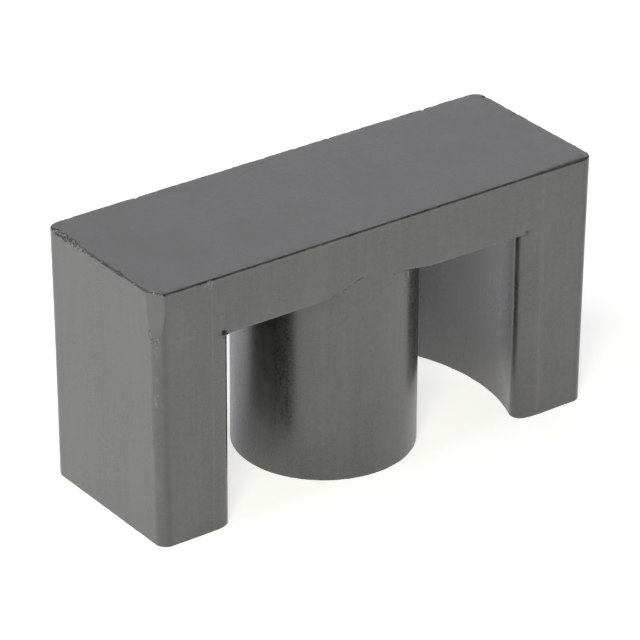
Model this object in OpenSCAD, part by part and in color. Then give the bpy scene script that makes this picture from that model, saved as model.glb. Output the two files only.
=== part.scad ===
// Ferrite E core half with a round centre post, pressed and sintered in one piece.
// +X runs along the core, -Y is its front, +Z is up. The three pole faces
// lie on z = 0 and the back plate is on top. Origin: middle of the pole faces.

/* [Outline] */
// Length of the core across the back plate
core_length = 59.8; // [50:0.1:70]
// Height from the pole faces to the top of the back plate
core_height = 31.1; // [26:0.1:36]
// Depth of the core from its front face to its back face
core_depth = 21.36; // [18:0.02:24]
// Inward lean of each end face, plate to pole face, in degrees
end_lean = 0.82; // [0.2:0.02:1.2]
// Radius of the four outer vertical edges
edge_r = 1.4; // [1.3:0.1:2.2]

/* [Windings window] */
// Height of the two windows, pole face to underside of the plate
window_height = 23.9; // [18:0.1:25]
// Diameter across the two hollow inner leg faces
inner_diameter = 43.86; // [41:0.02:46]
// Fillet between the underside of the plate and the walls
ceiling_r = 0.6; // [0.3:0.1:1.2]

/* [Centre post] */
// Diameter of the centre post
post_diameter = 21.3; // [19:0.05:21.3]

/* [Leg noses] */
// Small radius where a leg's hollow face turns to the front or back
nose_r = 1.3; // [0.8:0.1:1.5]
// Large radius that runs from the nose into the flat face
nose_land_r = 7; // [5:0.5:9]
// Distance from the middle to the line where the nose meets the flat face
nose_line_x = 22.5; // [22.3:0.05:22.9]

/* [Wear] */
// Length of the rubbed flat near the top of the front left edge
rub_length = 5.4; // [3:0.1:7]
// Depth of that flat at its deepest, measured into the edge's rounding
rub_depth = 0.34; // [0.1:0.02:0.34]
// Distance from the top of the plate down to the flat's deepest point
rub_drop = 1.4; // [0.5:0.1:2.5]
// Direction the flat faces, in degrees from the end face towards the front
rub_turn = 45; // [43:1:47]
// Widest part of the rubbed edge at the top front right
edge_wear = 0.34; // [0.2:0.02:0.7]

/* [Hidden] */
$fn = 128;
ferrite = [0.26, 0.26, 0.25];

half_l = core_length / 2;
half_d = core_depth / 2;
inner_r = inner_diameter / 2;
post_r = post_diameter / 2;
foot_l = half_l - core_height * tan(end_lean);

// Nose, worked out for the front right leg: a small arc turns out of the
// hollow face, and a wide land arc runs on to the front face at nose_line_x.
// Each arc crosses its neighbour by this much, far below any tool mark, so
// that no two faces only touch.
overlap = 0.003;
land_x = nose_line_x + sqrt(2 * nose_land_r * overlap);
land_c = [land_x, -half_d + nose_land_r - overlap];
land_d = norm(land_c);
small_a = inner_r + nose_r - overlap;
small_b = nose_land_r - nose_r + overlap;
// Distance along and across the line from the middle to the land centre
along = (small_a * small_a - small_b * small_b + land_d * land_d) / (2 * land_d);
across = sqrt(small_a * small_a - along * along);
u = land_c / land_d;
nose_c = [u[0] * along + u[1] * across, u[1] * along - u[0] * across];
// Where the small arc leaves the hollow face, and where it joins the land arc
nose_in = nose_c * (inner_r - overlap / 2) / small_a;
nose_out = land_c + (nose_c - land_c) * (nose_land_r + overlap / 2) / small_b;

// Waste at the rubbed flat: a wide roller lying level against the front left
// edge. Its curve is so slow that it leaves a long, shallow almond.
rub_r = (rub_length / 2) * (rub_length / 2) / (2 * rub_depth);
module rubbed_flat()
    translate([-half_l + edge_r + tan(end_lean) * rub_drop, -half_d + edge_r,
               core_height - rub_drop])
        rotate([0, 0, 180 + rub_turn])
            translate([edge_r - rub_depth + rub_r, 0, 0])
                rotate([90, 0, 0])
                    cylinder(h = 8, r = rub_r, center = true);

// Back plate and legs before the windows: a block with leaning end faces
module block()
    difference() {
        rotate([90, 0, 0])
            linear_extrude(height = core_depth, center = true)
                polygon([[-foot_l, 0], [foot_l, 0],
                         [half_l, core_height], [-half_l, core_height]]);
        for (sx = [-1, 1], sy = [-1, 1])
            outer_edge(sx, sy);
    }

// Waste beyond one rounded outer vertical edge, along the leaning end face
module outer_edge(sx, sy)
    translate([sx * half_l, sy * half_d, core_height])
        rotate([0, sx * end_lean, 0])
            translate([0, 0, -core_height - 4])
                difference() {
                    translate([sx > 0 ? -edge_r : -2, sy > 0 ? -edge_r : -2, 0])
                        cube([edge_r + 2, edge_r + 2, core_height + 8]);
                    translate([-sx * (edge_r - overlap), -sy * (edge_r - overlap), -1])
                        cylinder(h = core_height + 10, r = edge_r);
                }

// Both windows at once: a ring of space round the centre post, with
// filleted corners where its walls meet the underside of the plate
module windows()
    rotate_extrude()
        difference() {
            translate([post_r, -2])
                square([inner_r - post_r, window_height + 2]);
            difference() {
                translate([post_r - 1, window_height - ceiling_r])
                    square([ceiling_r + 1, ceiling_r + 1]);
                translate([post_r + ceiling_r, window_height - ceiling_r])
                    circle(r = ceiling_r);
            }
            difference() {
                translate([inner_r - ceiling_r, window_height - ceiling_r])
                    square([ceiling_r + 1, ceiling_r + 1]);
                translate([inner_r - ceiling_r, window_height - ceiling_r])
                    circle(r = ceiling_r);
            }
        }

// Waste beyond the nose of the front right leg
module nose_waste()
    translate([0, 0, -2])
        linear_extrude(height = window_height + 2)
            difference() {
                polygon([[nose_in[0] - 1.9, -half_d - 2],
                         [land_x, -half_d - 2],
                         [land_x, land_c[1] - nose_land_r * 0.9],
                         nose_out + (land_c - nose_out) * 0.1,
                         nose_c,
                         nose_in,
                         [nose_in[0] - 1.9, nose_in[1] + 0.2]]);
                circle_sector_land();
                translate(nose_c) circle(r = nose_r);
            }

// The part of the land arc's disc that lies beyond the small arc
module circle_sector_land()
    intersection() {
        translate(land_c) circle(r = nose_land_r);
        polygon([nose_out + (nose_out - land_c) * 0.5,
                 [land_x + 1, -half_d - 4],
                 [land_x + 1, land_c[1]],
                 nose_c]);
    }

// One press and sinter piece: plate, two outer legs and the round post
module core()
    color(ferrite)
        difference() {
            block();
            windows();
            for (sx = [0, 1], sy = [0, 1])
                mirror([sx, 0, 0]) mirror([0, sy, 0]) nose_waste();
            rubbed_flat();
            // top front edge, rubbed more and more towards the right end
            translate([half_l, -half_d, core_height])
                rotate([0, 0, atan(edge_wear / 9)])
                    rotate([45, 0, 0])
                        translate([-30, -5, -edge_wear * 0.7])
                            cube([34, 10, 5]);
        }

core();
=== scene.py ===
import math

import bmesh
import bpy
import numpy as np
from mathutils import Matrix, Vector


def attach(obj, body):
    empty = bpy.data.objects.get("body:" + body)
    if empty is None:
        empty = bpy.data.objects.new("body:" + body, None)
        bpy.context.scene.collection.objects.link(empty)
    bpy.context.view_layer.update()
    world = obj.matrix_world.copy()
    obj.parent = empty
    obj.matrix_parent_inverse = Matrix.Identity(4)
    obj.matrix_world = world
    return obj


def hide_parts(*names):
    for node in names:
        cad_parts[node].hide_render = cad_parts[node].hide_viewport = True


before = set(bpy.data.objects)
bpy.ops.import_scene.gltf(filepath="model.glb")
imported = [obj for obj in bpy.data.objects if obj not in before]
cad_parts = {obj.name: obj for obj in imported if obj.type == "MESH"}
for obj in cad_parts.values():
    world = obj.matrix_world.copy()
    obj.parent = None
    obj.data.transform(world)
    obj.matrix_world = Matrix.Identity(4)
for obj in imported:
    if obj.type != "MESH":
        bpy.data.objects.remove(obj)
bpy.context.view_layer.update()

MM = 0.001
# the CAD's own sizes, in mm
HL, HD, TOP = 29.9, 10.68, 31.1
LEAN = math.radians(0.82)
WH = 23.9            # underside of the plate
IR, PR = 21.93, 10.65
CR = 0.6             # fillet under the plate
ER = 1.4             # outer vertical edges
OV = 0.003
NR, LR, NLX = 1.3, 7.0, 22.5
LX = NLX + math.sqrt(2 * LR * OV)
LC = np.array([LX, -HD + LR - OV])
_sa, _sb = IR + NR - OV, LR - NR + OV
_ld = np.linalg.norm(LC)
_al = (_sa**2 - _sb**2 + _ld**2) / (2 * _ld)
_ac = math.sqrt(_sa**2 - _al**2)
_u = LC / _ld
NC = np.array([_u[0] * _al + _u[1] * _ac, _u[1] * _al - _u[0] * _ac])


# ---------------------------------------------------------------- noise
def lattice(seed, n=64):
    return np.random.default_rng(seed).uniform(-1.0, 1.0, (n, n, n))


def vnoise(p, scale, seed):
    """Smooth value noise at the points p (n,3), in -1..1."""
    g = lattice(seed)
    n = g.shape[0]
    q = p / scale
    i = np.floor(q).astype(int)
    f = q - i
    f = f * f * f * (f * (f * 6 - 15) + 10)
    out = np.zeros(len(p))
    for dx in (0, 1):
        for dy in (0, 1):
            for dz in (0, 1):
                w = ((f[:, 0] if dx else 1 - f[:, 0])
                     * (f[:, 1] if dy else 1 - f[:, 1])
                     * (f[:, 2] if dz else 1 - f[:, 2]))
                out += w * g[(i[:, 0] + dx) % n, (i[:, 1] + dy) % n, (i[:, 2] + dz) % n]
    return out


def smooth(a, b, x):
    t = np.clip((x - a) / (b - a), 0.0, 1.0)
    return t * t * (3 - 2 * t)


# ---------------------------------------------------------------- base mesh
# surface kinds, kept as material indices while the mesh is cut
PLANE, POST, HOLLOW, SMALL, LAND, CORNER, FILP, FILW, FREE, BEVEL = range(10)


def corner_local(p, sx, sy):
    """Points in the frame of a leaning outer corner: the cylinder runs along z."""
    q = p - np.array([sx * HL, sy * HD, TOP])
    c, s = math.cos(-sx * LEAN), math.sin(-sx * LEAN)
    x = q[:, 0] * c + q[:, 2] * s
    z = -q[:, 0] * s + q[:, 2] * c
    return np.stack([x + sx * (ER - OV), q[:, 1] + sy * (ER - OV), z], 1)


def corner_world(q, sx, sy):
    c, s = math.cos(sx * LEAN), math.sin(sx * LEAN)
    x0, y0, z0 = q[:, 0] - sx * (ER - OV), q[:, 1] - sy * (ER - OV), q[:, 2]
    x = x0 * c + z0 * s
    z = -x0 * s + z0 * c
    return np.stack([x, y0, z], 1) + np.array([sx * HL, sy * HD, TOP])


def kind_of(co, n):
    """The kind of CAD surface that a face with corners co (k,3) and normal n lies on."""
    r = np.hypot(co[:, 0], co[:, 1])
    if abs(n[2]) < 0.02:
        if np.all(abs(r - PR) < 0.006):
            return POST
        if np.all(abs(r - IR) < 0.006) and np.all(abs(co[:, 1]) < 9.2):
            return HOLLOW
        a = np.abs(co[:, :2]) * [1, -1]
        if np.all(abs(np.hypot(*(a - NC).T) - NR) < 0.006):
            return SMALL
        if np.all(abs(np.hypot(*(a - LC).T) - LR) < 0.004) and np.all(a[:, 0] < LX):
            return LAND
        if np.all(abs(co[:, 0]) > 27.5) and abs(n[0]) > 0.02 and abs(n[1]) > 0.02:
            m = co.mean(0)
            sx, sy = (1 if m[0] > 0 else -1), (1 if m[1] > 0 else -1)
            q = corner_local(co, sx, sy)
            if np.all(abs(np.hypot(q[:, 0], q[:, 1]) - ER) < 0.006):
                return CORNER
        if abs(n[0]) < 1e-4 or abs(n[1]) < 1e-4:
            return PLANE
        return FREE
    if abs(n[2]) > 0.9999:
        return PLANE
    if np.all(co[:, 2] > WH - CR - 0.01) and np.all(co[:, 2] < WH + 0.01):
        if np.all(abs(np.hypot(r - (PR + CR), co[:, 2] - (WH - CR)) - CR) < 0.01):
            return FILP
        if np.all(abs(np.hypot(r - (IR - CR), co[:, 2] - (WH - CR)) - CR) < 0.01):
            return FILW
    return FREE


def onto(p, kind):
    """Points p moved onto the exact surface of that kind, and its outward normals."""
    p = p.copy()
    n = np.zeros_like(p)
    if kind in (POST, HOLLOW):
        R, s = (PR, 1.0) if kind == POST else (IR, -1.0)
        r = np.hypot(p[:, 0], p[:, 1])[:, None]
        n[:, :2] = s * p[:, :2] / r
        p[:, :2] *= R / r
    elif kind in (SMALL, LAND):
        c, R = (NC, NR) if kind == SMALL else (LC, LR)
        sg = np.sign(p[:, :2])
        a = np.abs(p[:, :2]) * [1, -1] - c
        r = np.hypot(*a.T)[:, None]
        m = a / r
        a = (m * R + c) * [1, -1]
        p[:, :2] = a * sg
        n[:, :2] = m * [1, -1] * sg
    elif kind == CORNER:
        for sx in (-1, 1):
            for sy in (-1, 1):
                k = (np.sign(p[:, 0]) == sx) & (np.sign(p[:, 1]) == sy)
                if not k.any():
                    continue
                q = corner_local(p[k], sx, sy)
                r = np.hypot(q[:, 0], q[:, 1])[:, None]
                m = q[:, :2] / r
                q[:, :2] = m * ER
                p[k] = corner_world(q, sx, sy)
                o = np.array([[0.0, 0.0, 0.0]])
                mm = np.concatenate([m, np.zeros((len(m), 1))], 1)
                c, s = math.cos(sx * LEAN), math.sin(sx * LEAN)
                n[k] = np.stack([mm[:, 0] * c, mm[:, 1], -mm[:, 0] * s], 1)
    elif kind in (FILP, FILW):
        R = PR + CR if kind == FILP else IR - CR
        r = np.hypot(p[:, 0], p[:, 1])
        a = np.stack([r - R, p[:, 2] - (WH - CR)], 1)
        d = np.hypot(*a.T)[:, None]
        m = a / np.maximum(d, 1e-9)
        a = m * CR
        r2 = R + a[:, 0]
        p[:, 2] = WH - CR + a[:, 1]
        e = p[:, :2] / r[:, None]
        p[:, :2] = e * r2[:, None]
        n[:, :2] = -e * m[:, :1]
        n[:, 2] = -m[:, 1]
    return p, n


def bevel_width(a, b):
    """Width in mm of the worn rounding on the sharp edge from a to b."""
    m = (a + b) / 2
    if min(a[2], b[2]) > TOP - 0.35:
        if m[1] < -HD + 0.3:
            return 0.24
        return 0.20
    if max(a[2], b[2]) < 0.05:
        r = math.hypot(m[0], m[1])
        if abs(r - PR) < 0.05:
            return 0.07
        return 0.11
    return 0.13


def cut(bm, axis, planes, box=None, slack=1e-6):
    """Cuts the mesh with planes across one axis, all of it or the faces in a box."""
    no = Vector((0, 0, 0))
    no[axis] = 1.0

    def inside(f):
        if box is None:
            return True
        c = f.calc_center_median()
        return all(box[0][k] <= c[k] <= box[1][k] for k in range(3))

    rng = []
    for f in bm.faces:
        if inside(f):
            v = [w.co[axis] for w in f.verts]
            rng.append((min(v), max(v), f))
    rng.sort(key=lambda t: t[0])
    k = 0
    active = []
    for x in planes:
        while k < len(rng) and rng[k][0] < x - slack:
            if rng[k][1] > x + slack:
                active.append(rng[k][2])
            elif rng[k][1] > x - slack:
                pass
            k += 1
        geom = set()
        keep = []
        for f in active:
            if not f.is_valid:
                continue
            v = [w.co[axis] for w in f.verts]
            if max(v) <= x + slack:
                continue
            keep.append(f)
            if min(v) < x - slack:
                geom.add(f)
        if not geom:
            active = keep
            continue
        g = list(geom)
        es = set()
        vs = set()
        for f in g:
            es.update(f.edges)
            vs.update(f.verts)
        co = Vector((0, 0, 0))
        co[axis] = x
        res = bmesh.ops.bisect_plane(bm, geom=g + list(es) + list(vs), dist=1e-7,
                                     plane_co=co, plane_no=no)
        new = [e for e in res["geom"] if isinstance(e, bmesh.types.BMFace) and e.is_valid]
        act = set(f for f in keep if f.is_valid)
        act.update(new)
        active = [f for f in act if max(w.co[axis] for w in f.verts) > x + slack]


def ring_points(inset):
    """The outline of the winding space at one height, right half, front to back."""
    pts = [(LX, -14.0)]
    a1 = math.atan2(NC[1] - LC[1], NC[0] - LC[0])          # towards the nose
    for t in np.linspace(-math.pi / 2, a1 if a1 < 0 else a1 - 2 * math.pi, 8):
        pts.append(tuple(LC + (LR + inset) * np.array([math.cos(t), math.sin(t)])))
    a2 = math.atan2(-NC[1], -NC[0]) - 2 * math.pi           # towards the middle
    a1 = a1 if a1 < 0 else a1 - 2 * math.pi
    for t in np.linspace(a1, a2, 12)[1:-1]:
        pts.append(tuple(NC + (NR + inset) * np.array([math.cos(t), math.sin(t)])))
    a3 = math.atan2(NC[1], NC[0])
    for t in np.linspace(a3, -a3, 25):
        pts.append(((IR - inset) * math.cos(t), (IR - inset) * math.sin(t)))
    return pts + [(x, -y) for x, y in reversed(pts[:19])]


def new_mesh(verts, faces, name):
    m = bpy.data.meshes.new(name)
    m.from_pydata([tuple(map(float, v)) for v in verts], [], faces)
    m.validate()
    o = bpy.data.objects.new(name, m)
    bpy.context.scene.collection.objects.link(o)
    return o


def block_object():
    k = 11
    top, bot = [], []
    for sx, sy, a0 in ((1, -1, -90), (1, 1, 0), (-1, 1, 90), (-1, -1, 180)):
        for t in np.radians(np.linspace(a0, a0 + 90, k)):
            x, y = sx * (HL - ER) + ER * math.cos(t), sy * (HD - ER) + ER * math.sin(t)
            top.append((x, y, TOP))
            bot.append((x - sx * TOP * math.tan(LEAN), y, 0.0))
    n = len(top)
    fs = [list(range(n)), [2 * n - 1 - i for i in range(n)]]
    for i in range(n):
        j = (i + 1) % n
        fs.append([i, n + i, n + j, j])
    return new_mesh(top + bot, fs, "block")


def void_object():
    hs = [(-2.0, 0.0), (WH - CR, 0.0)]
    for t in np.radians([18, 36, 54, 72, 90]):
        hs.append((WH - CR + CR * math.sin(t), CR * (1 - math.cos(t))))
    rows = []
    for z, i in hs:
        o = ring_points(i)
        o = o + [(-x, -y) for x, y in o]
        p = [((PR + i) * math.cos(t), (PR + i) * math.sin(t))
             for t in np.radians(np.arange(0, 360, 3.75))]
        rows.append(([(x, y, z) for x, y in o], [(x, y, z) for x, y in p]))
    vs, fs = [], []
    no, npp = len(rows[0][0]), len(rows[0][1])
    for o, p in rows:
        vs += o + p
    st = no + npp
    for k in range(len(rows) - 1):
        for i in range(no):
            j = (i + 1) % no
            fs.append([k * st + i, k * st + j, (k + 1) * st + j, (k + 1) * st + i])
        for i in range(npp):
            j = (i + 1) % npp
            a, b = k * st + no + i, k * st + no + j
            fs.append([b, a, a + st, b + st])
    ob = new_mesh(vs, fs, "void")
    bm = bmesh.new()
    bm.from_mesh(ob.data)
    for z in (hs[0][0], hs[-1][0]):
        es = [e for e in bm.edges if e.is_boundary and all(abs(v.co.z - z) < 1e-5 for v in e.verts)]
        bmesh.ops.triangle_fill(bm, use_beauty=True, use_dissolve=True, edges=es)
    bmesh.ops.recalc_face_normals(bm, faces=bm.faces)
    bm.to_mesh(ob.data)
    bm.free()
    return ob


def build_mesh():
    blk, voi = block_object(), void_object()
    mod = blk.modifiers.new("windows", "BOOLEAN")
    mod.operation = "DIFFERENCE"
    mod.solver = "EXACT"
    mod.object = voi
    dg = bpy.context.evaluated_depsgraph_get()
    src = bpy.data.meshes.new_from_object(blk.evaluated_get(dg), depsgraph=dg)
    bpy.data.objects.remove(blk)
    bpy.data.objects.remove(voi)
    bm = bmesh.new()
    bm.from_mesh(src)
    bmesh.ops.remove_doubles(bm, verts=bm.verts, dist=1e-4)
    bmesh.ops.dissolve_limit(bm, angle_limit=math.radians(0.02), verts=bm.verts, edges=bm.edges)
    bm.normal_update()
    print("base", len(bm.verts), len(bm.faces), "open", sum(1 for e in bm.edges if not e.is_manifold))
    for f in bm.faces:
        co = np.array([v.co for v in f.verts])
        f.material_index = kind_of(co, np.array(f.normal))
    print("kinds", {k: sum(1 for f in bm.faces if f.material_index == k) for k in range(9)})
    wmax = 0.3
    layer = bm.edges.layers.float.new("bevel_weight_edge")
    for e in bm.edges:
        if len(e.link_faces) != 2 or not e.is_convex:
            continue
        a, b = (np.array(v.co) for v in e.verts)
        m = (a + b) / 2
        at_fillet = abs(m[1]) > HD - 0.1 and WH - CR - 0.02 < m[2] < WH + 0.02
        near = at_fillet and (abs(m[0]) > 19.3 or abs(m[0]) < 4.0)
        if e.calc_face_angle() > math.radians(75 if near else 28):
            e[layer] = bevel_width(a, b) / wmax
    me = bpy.data.meshes.new("base")
    bm.to_mesh(me)
    bm.free()
    for k in range(10):
        me.materials.append(bpy.data.materials.new(f"k{k}"))
    tmp = bpy.data.objects.new("base", me)
    bpy.context.scene.collection.objects.link(tmp)
    mod = tmp.modifiers.new("edges", "BEVEL")
    mod.limit_method = "WEIGHT"
    mod.width = wmax
    mod.segments = 3
    mod.use_clamp_overlap = False
    mod.material = BEVEL
    mod.harden_normals = False
    dg = bpy.context.evaluated_depsgraph_get()
    out = bpy.data.meshes.new_from_object(tmp.evaluated_get(dg), depsgraph=dg)
    bpy.data.objects.remove(tmp)
    bm = bmesh.new()
    bm.from_mesh(out)
    step = 0.5
    for ax, lo, hi in ((0, -30, 30), (1, -10.9, 10.9), (2, 0, 31.2)):
        n = int((hi - lo) / step)
        cut(bm, ax, [lo + (i + 0.37) * (hi - lo) / n for i in range(n)])

    def fine(box, steps):
        for ax, st in enumerate(steps):
            if st:
                lo, hi = box[0][ax], box[1][ax]
                n = max(1, int(round((hi - lo) / st)))
                cut(bm, ax, [lo + (i + 0.5) * (hi - lo) / n for i in range(n)], box)

    fine(((-30.1, -10.9, 24.6), (-27.9, -8.6, 31.2)), (0.13, 0.13, 0.13))    # rubbed corner
    for sx in (-1, 1):
        for sy in (-1,):
            x0, x1 = sorted((sx * 22.4, sx * 22.8))
            y0, y1 = sorted((sy * 10.5, sy * 10.9))
            fine(((x0, y0, -1), (x1, y1, 31.2)), (0.12, 0, 0))
    fine(((-22.6, -10.9, 23.7), (-20.2, -10.2, 28.7)), (0.24, 0, 0.5))      # groove, left leg
    fine(((19.7, -10.9, 23.7), (22.4, -10.2, 25.8)), (0.24, 0, 0.4))        # groove, right leg
    fine(((-7.6, -10.9, 23.2), (-1.6, -7.6, 26.2)), (0.2, 0, 0.2))       # post into plate
    fine(((1.8, -10.9, 23.2), (6.2, -7.6, 25.2)), (0.22, 0, 0.22))
    fine(((-30.1, -10.9, 30.5), (-29.0, 10.9, 31.2)), (0.1, 0.17, 0.1))      # top edge, left end
    fine(((-30.1, -10.9, 30.7), (30.1, -10.2, 31.2)), (0.22, 0, 0))          # top edge, front
    fine(((-30.1, 10.2, 30.7), (30.1, 10.9, 31.2)), (0.22, 0, 0))            # top edge, back
    fine(((29.2, -10.9, 30.7), (30.1, 10.9, 31.2)), (0, 0.22, 0))            # top edge, right end
    bmesh.ops.remove_doubles(bm, verts=bm.verts, dist=0.003)
    bmesh.ops.triangulate(bm, faces=[f for f in bm.faces if len(f.verts) > 4])
    return bm


bm = build_mesh()

# positions and normals on the exact surfaces
bm.verts.index_update()
bm.faces.index_update()
bm.normal_update()
V = np.array([v.co for v in bm.verts])
acc = np.zeros_like(V)
newV = V.copy()
kinds = [set() for _ in range(len(V))]
for f in bm.faces:
    for v in f.verts:
        kinds[v.index].add(f.material_index)
face_n = np.zeros_like(V)
bev_n = np.zeros_like(V)
for f in bm.faces:
    a = f.calc_area()
    n = np.array(f.normal)
    for v in f.verts:
        if f.material_index in (PLANE, FREE):
            face_n[v.index] += n * a
        elif f.material_index == BEVEL:
            bev_n[v.index] += n * a
for kind in (POST, HOLLOW, SMALL, LAND, CORNER, FILP, FILW):
    idx = np.array([i for i, k in enumerate(kinds) if kind in k], int)
    if len(idx) == 0:
        print("no vertices of kind", kind)
        continue
    p, n = onto(V[idx], kind)
    d = np.linalg.norm(p - V[idx], axis=1)
    ok = d < 0.03
    print("kind", kind, len(idx), "moved at most", round(float(d.max()), 4), "kept", int(ok.sum()))
    only = np.array([not (kinds[i] & {PLANE, FREE}) for i in idx])
    mv = ok & only
    newV[idx[mv]] = p[mv]
    acc[idx[ok]] += n[ok]
fn = face_n / np.maximum(np.linalg.norm(face_n, axis=1, keepdims=True), 1e-12)
N = acc + fn
none = np.linalg.norm(N, axis=1) < 1e-6
N[none] = bev_n[none]
N /= np.maximum(np.linalg.norm(N, axis=1, keepdims=True), 1e-12)
# ---------------------------------------------------------------- wear and tool marks
def geo_normals(P):
    """Area-weighted vertex normals of the mesh with its vertices at P."""
    out = np.zeros_like(P)
    for ring, nf in rings:
        q = P[ring]
        c = q.mean(1, keepdims=True)
        e = q - c
        n = np.cross(e, np.roll(e, -1, axis=1)).sum(1)
        for k in range(ring.shape[1]):
            np.add.at(out, ring[:, k], n)
    return out / np.maximum(np.linalg.norm(out, axis=1, keepdims=True), 1e-15)


by = {}
for f in bm.faces:
    by.setdefault(len(f.verts), []).append([v.index for v in f.verts])
rings = [(np.array(v, int), len(v)) for v in by.values()]
is_bevel = np.array([k == {BEVEL} for k in kinds])
on_bevel = np.array([BEVEL in k for k in kinds])
P0 = newV.copy()
G0 = geo_normals(P0)
P = P0.copy()
pit = np.zeros(len(P))      # fresh, rough surface inside chips and pits
rub = np.zeros(len(P))      # rubbed, smoother surface


def bump(t):
    return np.exp(-t * t)


X, Y, Z = P[:, 0].copy(), P[:, 1].copy(), P[:, 2].copy()
front = (Y < -7.0)

# slight bow of the tall edges and the top edge at the back, as pressed
bow = 0.05 * np.sin(np.clip(Z / TOP, 0, 1) * math.pi)
P[:, 0] -= np.sign(X) * bow * smooth(26.0, 29.5, np.abs(X))
P[:, 1] += 0.04 * np.cos(X / HL * math.pi / 2) * smooth(8.0, 10.5, Y) * smooth(24, 30, Z)

# the post runs up into the plate's face and fades out there
cyl = 10.68 - np.sqrt(np.maximum(PR * PR - X * X, 0.0))
zz = np.array([23.0, 23.9, 24.05, 24.23, 24.5, 24.8, 25.1, 25.5, 26.2])
dd = np.array([9.0, 3.2, 1.9, 1.26, 0.83, 0.52, 0.28, 0.10, 0.0])
ramp_l = np.interp(Z, zz, dd)
ramp_r = np.interp(Z, zz - [0, 0, .08, .15, .25, .4, .7, 1.2, 1.8], dd)
lim = np.where(X < 0, ramp_l, ramp_r)
d = np.minimum(cyl, lim)
over = np.clip((cyl - lim) / 0.5, 0, 1)                     # beyond the crease it dies away
d = d * (1 - over) ** 2
sel = front & (Z > WH - 0.75) & (np.abs(X) < 8.4) & (Z < 28.5)
yf = -HD + d
# under the plate's edge nothing may stand proud of the post there
yf = np.where((Z > WH - 0.02), yf, -HD + np.minimum(cyl, 9) * 0.999)
mv = sel & (Y < yf) & (np.abs(X) < 7.6)
low = Z <= WH - 0.02
mv &= ~low
P[mv, 1] = yf[mv]
# no fillet between post and plate where they share the front
rad = np.hypot(P[:, 0], P[:, 1])
kf = front & (Z > 23.15) & (Z < WH + 0.005) & (rad > PR) & (rad < PR + 0.64) & (np.abs(X) < 8.2)
tgt = PR + (rad - PR) * smooth(6.6, 8.2, np.abs(X))
P[kf, :2] *= (tgt[kf] / rad[kf])[:, None]

# the noses of the two front legs run up into the plate's face as a groove
def groove(x0, x1, x2, z0, z1, deep):
    """Depth from x0 (start) falling to deep at x1, and back to 0 at x2."""
    t = np.clip((X - x0) / (x1 - x0), 0, 1)
    g = np.where((X - x1) * (x2 - x1) <= 0, t ** 1.8, np.clip((x2 - X) / (x2 - x1), 0, 1) ** 1.2)
    g = np.where((X - x0) * (x1 - x0) < 0, 0, g)
    f = np.clip((z1 - Z) / (z1 - z0), 0, 1) ** 1.3
    return deep * g * f * smooth(WH + 0.02, WH + 0.45, Z)


g = groove(-22.5, -20.86, -20.45, 23.9, 28.6, 0.34) + groove(22.3, 20.35, 19.75, 23.9, 25.6, 0.22)
face = front & (Y < -HD + 0.35) & (Z > WH - 0.14)
P[face, 1] += g[face]

# top front edge, rubbed more towards the right end
nrm = np.array([0.0, -1.0, 1.0]) / math.sqrt(2)
w_e = 0.05 + 0.29 * smooth(16.0, 27.5, X) - 0.10 * smooth(28.0, 29.9, X)
lvl = (HD + TOP) / math.sqrt(2) - w_e * 0.72
h = P @ nrm - lvl
k = (h > 0) & (Y < -10) & (Z > 30)
P[k] -= h[k, None] * nrm
rub[k] = 0.5

# long shallow almond rubbed on the corner between left end and front
zc, hl, dep = 29.4, 3.8, 0.36
Rr = hl * hl / (2 * dep)
turn = math.radians(180 + 36)
dr = np.array([math.cos(turn), math.sin(turn)])
ax0 = np.array([-HL + ER + math.tan(LEAN) * (TOP - zc), -HD + ER]) + dr * (ER - dep)
q = (P[:, :2] - ax0) @ dr
zz2 = P[:, 2] - zc
sag = zz2 * zz2 / (2 * Rr)
side = (P[:, 0] - ax0[0]) * -dr[1] + (P[:, 1] - ax0[1]) * dr[0]
prof = sag - 0.045 * (side / 0.9) ** 2
h = q - prof
k = (h > 0) & (P[:, 0] < -27.6) & (P[:, 1] < -8.4) & (P[:, 2] > 24.5)
P[k, :2] -= h[k, None] * dr
rub[k] = 1.0
almond = k.copy()

# edges worn unevenly
nz1 = vnoise(P0, 0.9, 3) * 0.6 + vnoise(P0, 0.35, 4) * 0.5
edge_amt = np.where(Z > 30.5, 0.055, 0.028)
k = on_bevel & ~almond
P[k] -= N[k] * (np.clip(nz1[k], -0.3, 1.2) + 0.3)[:, None] * edge_amt[k, None]


def scoop(c, r, squash=(1, 1, 1), seed=0):
    """A bite of radius r centred at c taken out of the surface."""
    global P
    s = np.array(squash, float)
    v = (P - np.array(c)) / s
    dist = np.linalg.norm(v, axis=1)
    rr = r * (1 + 0.25 * vnoise(P0, r * 0.6, 50 + seed))
    k = dist < rr
    if not k.any():
        return
    n = N[k]
    b = (v[k] * n).sum(1)
    c2 = dist[k] ** 2 - rr[k] ** 2
    t = b + np.sqrt(np.maximum(b * b - c2, 0))
    P[k] -= n * np.minimum(t, r)[:, None]
    pit[k] = np.maximum(pit[k], np.clip(t / (0.5 * r), 0, 1))


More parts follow.
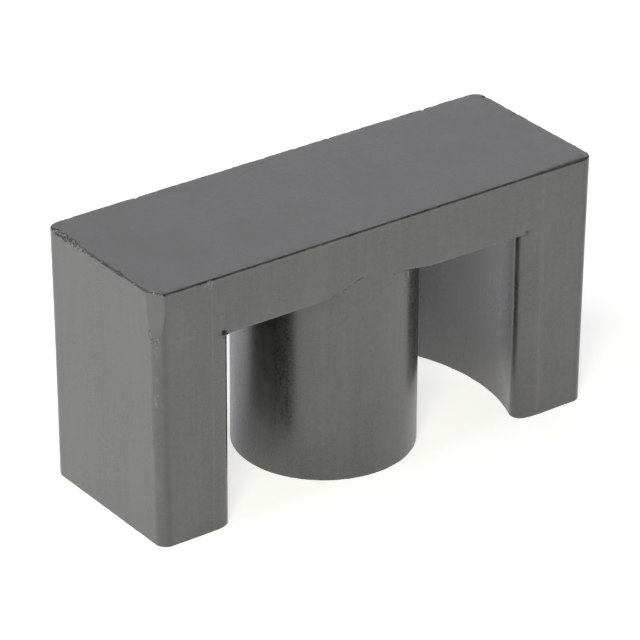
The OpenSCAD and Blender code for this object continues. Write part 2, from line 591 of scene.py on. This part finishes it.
chips = [(-29.86, 8.7, 31.12, 0.38), (-29.9, 8.1, 31.05, 0.30), (-29.75, 7.25, 31.2, 0.42), (-29.9, 6.75, 31.0, 0.32),
         (-29.7, 5.65, 31.22, 0.40), (-29.9, 5.1, 31.02, 0.34), (-29.95, 4.3, 31.05, 0.30), (-29.95, 3.4, 31.1, 0.28),
         (-29.95, 2.9, 31.05, 0.24), (-29.9, -0.4, 31.15, 0.24), (-29.9, -3.4, 31.16, 0.30), (-29.9, -4.0, 31.12, 0.2),
         (-29.95, -6.6, 31.1, 0.2), (-29.93, -8.9, 31.1, 0.26), (-29.6, -9.9, 31.1, 0.28), (-29.25, -10.25, 31.14, 0.22),
         (-18.1, 10.75, 31.15, 0.34), (21.7, 10.78, 31.18, 0.36), (8.2, 10.75, 31.2, 0.24), (-5.3, 10.74, 31.2, 0.22),
         (-24.4, -10.75, 31.2, 0.24), (-22.9, -10.72, 30.9, 0.16), (24.9, -10.72, 31.2, 0.28), (12.4, -10.76, 31.2, 0.2),
         (29.9, 3.2, 31.2, 0.28), (29.95, -6.1, 31.15, 0.25), (29.9, 8.9, 31.15, 0.3)]
for i, (x, y, z, r) in enumerate(chips):
    scoop((x, y, z), r, (1, 1.25, 1), i)
rs = np.random.default_rng(11)
for i in range(26):        # small pits down the rubbed corner
    z = rs.uniform(17.5, 27.5)
    a = math.radians(180 + rs.uniform(20, 62))
    c = (-HL + ER + 0.0143 * (TOP - z) + (ER + 0.05) * math.cos(a), -HD + ER + (ER + 0.05) * math.sin(a), z)
    scoop(c, rs.uniform(0.10, 0.17), (1, 1, 1.3), 100 + i)
for x, z in ((-29.84, 26.5), (-29.82, 26.2), (-29.72, 25.9), (-29.55, 25.55)):
    scoop((x, -9.35 - (x + 29.84) * 1.2, z), 0.2, (1, 1, 1), 140)
# rough spots at the post's right shoulder and where the grooves start
for i, (x, y, z, r) in enumerate([(4.25, -9.85, 23.35, 0.22), (4.5, -9.7, 23.0, 0.17), (-22.6, -10.78, 30.5, 0.22),
                                  (-23.3, -10.77, 30.3, 0.18), (22.3, -10.78, 29.6, 0.16), (22.35, -10.78, 28.2, 0.18), (22.3, -10.78, 26.9, 0.16)]):
    scoop((x, y, z), r, (1, 1, 1.5), 160 + i)

high = P[:, 2] > TOP + 1e-3
print("above the top:", int(high.sum()), P[high][:4].round(2).tolist())
P[:, 2] = np.clip(P[:, 2], 0.0, TOP)
G1 = geo_normals(P)
moved = np.linalg.norm(P - P0, axis=1) > 1e-5
N = N + (G1 - G0)
N /= np.maximum(np.linalg.norm(N, axis=1, keepdims=True), 1e-12)
for i, v in enumerate(bm.verts):
    v.co = P[i] * MM
for f in bm.faces:
    f.material_index = 0
    f.smooth = True
me = bpy.data.meshes.new("ferrite_core")
bm.to_mesh(me)
bm.free()
cxl = np.abs(P0[:, 0]) - (HL - ER) + 0.0143 * (TOP - Z)
cyl2 = np.abs(P0[:, 1]) - (HD - ER)
phi = np.degrees(np.arctan2(cyl2, np.maximum(cxl, 1e-6)))
at_corner = (cxl > -0.4) & (cyl2 > 0.1)
# painted dark reflection: a dark band down the vertical corner roundings, picked by facing angle and mixed into the
# base colour below; the band is also made rougher
dark_reflection_band = np.exp(-((np.where(cxl > 0, phi, 90 + np.abs(cxl) * 40) - 74) / 17.0) ** 2) * at_corner
dark_reflection_band *= 0.75 + 0.35 * vnoise(P0, 0.8, 21)
dark_reflection_band *= 1 - almond
# painted highlight: a lighter strip down the front and back faces beside each leg's nose
line = np.exp(-((np.abs(P0[:, 0]) - 22.6) / 0.09) ** 2) * (np.abs(P0[:, 1]) > HD - 0.05)
line *= np.clip(0.55 + 0.7 * vnoise(P0, 0.5, 22), 0, 1)
worn = np.clip(on_bevel * (0.5 + 0.7 * vnoise(P0, 0.7, 23)), 0, 1)
for nm, val in (("pit", pit), ("rub", rub), ("dark_reflection_band", np.clip(dark_reflection_band, 0, 1)), ("line", line), ("worn", worn)):
    at = me.attributes.new(nm, "FLOAT", "POINT")
    at.data.foreach_set("value", val.astype(np.float32))
me.normals_split_custom_set_from_vertices([tuple(n) for n in N])
core = bpy.data.objects.new("ferrite_core", me)
bpy.context.scene.collection.objects.link(core)
print("tris", sum(len(p.vertices) - 2 for p in me.polygons))


# ---------------------------------------------------------------- material
def ferrite_material():
    m = bpy.data.materials.new("sintered_ferrite")
    m.use_nodes = True
    nt = m.node_tree
    nt.nodes.clear()
    out = nt.nodes.new("ShaderNodeOutputMaterial")
    bs = nt.nodes.new("ShaderNodeBsdfPrincipled")
    nt.links.new(bs.outputs[0], out.inputs[0])
    bs.inputs["IOR"].default_value = 1.92
    bs.inputs["Metallic"].default_value = 0.0
    tc = nt.nodes.new("ShaderNodeTexCoord")

    def noise(scale, detail, vec, rough=0.55):
        n = nt.nodes.new("ShaderNodeTexNoise")
        n.inputs["Scale"].default_value = scale
        n.inputs["Detail"].default_value = detail
        n.inputs["Roughness"].default_value = rough
        nt.links.new(vec, n.inputs["Vector"])
        return n.outputs["Fac"]

    def mapped(sx, sy, sz):
        mp = nt.nodes.new("ShaderNodeMapping")
        mp.inputs["Scale"].default_value = (sx, sy, sz)
        nt.links.new(tc.outputs["Object"], mp.inputs["Vector"])
        return mp.outputs[0]

    def ramp(fac, stops):
        r = nt.nodes.new("ShaderNodeValToRGB")
        while len(r.color_ramp.elements) > 1:
            r.color_ramp.elements.remove(r.color_ramp.elements[-1])
        r.color_ramp.elements[0].position = stops[0][0]
        r.color_ramp.elements[0].color = (*stops[0][1], 1)
        for p, c in stops[1:]:
            e = r.color_ramp.elements.new(p)
            e.color = (*c, 1)
        nt.links.new(fac, r.inputs[0])
        return r.outputs[0]

    def math_node(op, a, b=None, c=None):
        n = nt.nodes.new("ShaderNodeMath")
        n.operation = op
        for i, v in enumerate((a, b, c)):
            if v is None:
                continue
            if isinstance(v, (int, float)):
                n.inputs[i].default_value = v
            else:
                nt.links.new(v, n.inputs[i])
        return n.outputs[0]

    def mix(fac, a, b):
        n = nt.nodes.new("ShaderNodeMix")
        n.data_type = "RGBA"
        nt.links.new(fac, n.inputs[0])
        for i, v in ((6, a), (7, b)):
            if isinstance(v, tuple):
                n.inputs[i].default_value = (*v, 1)
            else:
                nt.links.new(v, n.inputs[i])
        return n.outputs[2]

    def attr(name):
        n = nt.nodes.new("ShaderNodeAttribute")
        n.attribute_name = name
        return n.outputs["Fac"]

    clouds = noise(150, 3, mapped(1, 1, 0.6))              # patches of some 6 mm
    grain = noise(2300, 3, mapped(1, 1, 1), 0.65)          # grain of some 0.4 mm
    streak = noise(1500, 3, mapped(1, 1, 0.09), 0.6)       # drawn along the pressing direction
    broad = noise(420, 2, mapped(1, 1, 0.05), 0.5)
    mixv = math_node("ADD", math_node("MULTIPLY", clouds, 0.32),
                     math_node("ADD", math_node("MULTIPLY", grain, 0.30),
                               math_node("ADD", math_node("MULTIPLY", streak, 0.22),
                                         math_node("MULTIPLY", broad, 0.16))))
    col = ramp(mixv, [(0.40, (0.013, 0.013, 0.011)), (0.50, (0.026, 0.026, 0.0225)),
                      (0.60, (0.044, 0.0435, 0.038))])
    # painted dark reflection on the corner roundings, darkening the base colour
    col = mix(math_node("MULTIPLY", attr("dark_reflection_band"), 0.85), col, (0.006, 0.0065, 0.004))
    col = mix(math_node("MULTIPLY", attr("worn"), 0.5), col, (0.075, 0.075, 0.07))
    # painted highlight beside the noses, lightening the base colour
    col = mix(math_node("MULTIPLY", attr("line"), 0.5), col, (0.10, 0.10, 0.088))
    col = mix(math_node("MULTIPLY", attr("rub"), 0.35), col, (0.06, 0.06, 0.053))
    speck = ramp(noise(5200, 2, mapped(1, 1, 1)), [(0.42, (0.02, 0.02, 0.018)), (0.66, (0.20, 0.20, 0.19))])
    col = mix(attr("pit"), col, speck)
    nt.links.new(col, bs.inputs["Base Color"])
    rg = math_node("ADD", math_node("MULTIPLY", mixv, 0.80), -0.095)
    rg = math_node("ADD", rg, math_node("MULTIPLY", attr("pit"), 0.2))
    rg = math_node("ADD", rg, math_node("MULTIPLY", attr("dark_reflection_band"), 0.12))
    nt.links.new(rg, bs.inputs["Roughness"])
    h = math_node("ADD", math_node("MULTIPLY", grain, 0.5), math_node("MULTIPLY", streak, 0.5))
    bp = nt.nodes.new("ShaderNodeBump")
    bp.inputs["Strength"].default_value = 0.4
    bp.inputs["Distance"].default_value = 0.000012
    nt.links.new(h, bp.inputs["Height"])
    nt.links.new(bp.outputs[0], bs.inputs["Normal"])
    return m


mat = ferrite_material()
core.data.materials.clear()
core.data.materials.append(mat)
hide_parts("core")
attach(core, "root")

# ---------------------------------------------------------------- stage
fl = bpy.data.meshes.new("floor")
fl.from_pydata([(-3, -3, 0), (3, -3, 0), (3, 3, 0), (-3, 3, 0)], [], [(0, 1, 2, 3)])
floor = bpy.data.objects.new("floor", fl)
bpy.context.scene.collection.objects.link(floor)
fm = bpy.data.materials.new("floor")
fm.use_nodes = True
fb = fm.node_tree.nodes["Principled BSDF"]
fb.inputs["Base Color"].default_value = (0.85, 0.85, 0.89, 1)
fb.inputs["Roughness"].default_value = 0.9
fb.inputs["Specular IOR Level"].default_value = 0.0
fb.inputs["Emission Color"].default_value = (0.99, 0.99, 1.0, 1)
fb.inputs["Emission Strength"].default_value = 0.535
floor.data.materials.append(fm)

# an even soft room, brighter towards the back right
w = bpy.data.worlds.new("studio")
bpy.context.scene.world = w
w.use_nodes = True
wt = w.node_tree
bgn = wt.nodes["Background"]
tcw = wt.nodes.new("ShaderNodeTexCoord")
dt = wt.nodes.new("ShaderNodeVectorMath")
dt.operation = "DOT_PRODUCT"
wt.links.new(tcw.outputs["Generated"], dt.inputs[0])
dt.inputs[1].default_value = Vector((0.523, 0.714, 0.465)).normalized()
m1 = wt.nodes.new("ShaderNodeMath")
m1.operation = "MAXIMUM"
wt.links.new(dt.outputs["Value"], m1.inputs[0])
m1.inputs[1].default_value = 0.0
m2 = wt.nodes.new("ShaderNodeMath")
m2.operation = "POWER"
wt.links.new(m1.outputs[0], m2.inputs[0])
m2.inputs[1].default_value = 6.0
m3 = wt.nodes.new("ShaderNodeMath")
m3.operation = "MULTIPLY_ADD"
wt.links.new(m2.outputs[0], m3.inputs[0])
m3.inputs[1].default_value = 0.92
m3.inputs[2].default_value = 0.12
wt.links.new(m3.outputs[0], bgn.inputs[1])
bgn.inputs[0].default_value = (0.99, 0.99, 1.05, 1)


def softbox(name, loc, size, power, colour):
    l = bpy.data.lights.new(name, "AREA")
    l.shape = "SQUARE"
    l.size = size
    l.energy = power
    l.color = colour
    o = bpy.data.objects.new(name, l)
    bpy.context.scene.collection.objects.link(o)
    o.location = loc
    o.rotation_mode = "QUATERNION"
    o.rotation_quaternion = (Vector((0, 0, 0.015)) - Vector(loc)).to_track_quat("-Z", "Y")


softbox("key", (-0.35, -0.45, 0.5), 0.35, 3.5, (1.0, 0.99, 0.79))
softbox("side", (-0.5, 0.1, 0.3), 0.35, 1.85, (0.96, 0.98, 1.0))

# ---------------------------------------------------------------- camera
AZ, EL, ROLL = (math.radians(a) for a in (-36.2123, 27.7032, 0.2683))
back = Vector((math.sin(AZ) * math.cos(EL), -math.cos(AZ) * math.cos(EL), math.sin(EL)))
right = Vector((math.cos(AZ), math.sin(AZ), 0))
up = back.cross(right)
target = right * -0.0004256 + up * -0.0007208 + Vector((0, 0, 0.015565))
cx = right * math.cos(ROLL) + up * math.sin(ROLL)
cy = -right * math.sin(ROLL) + up * math.cos(ROLL)
pos = target + back * 0.48190
cam = bpy.data.cameras.new("camera")
cam.sensor_width = 36
cam.lens = 240.82
cam.clip_start = 0.01
cam.clip_end = 20
co = bpy.data.objects.new("camera", cam)
rot = Matrix((cx, cy, back)).transposed().to_4x4()
co.matrix_world = Matrix.Translation(pos) @ rot
bpy.context.scene.collection.objects.link(co)
bpy.context.scene.camera = co
bpy.context.scene.view_settings.view_transform = "Standard"
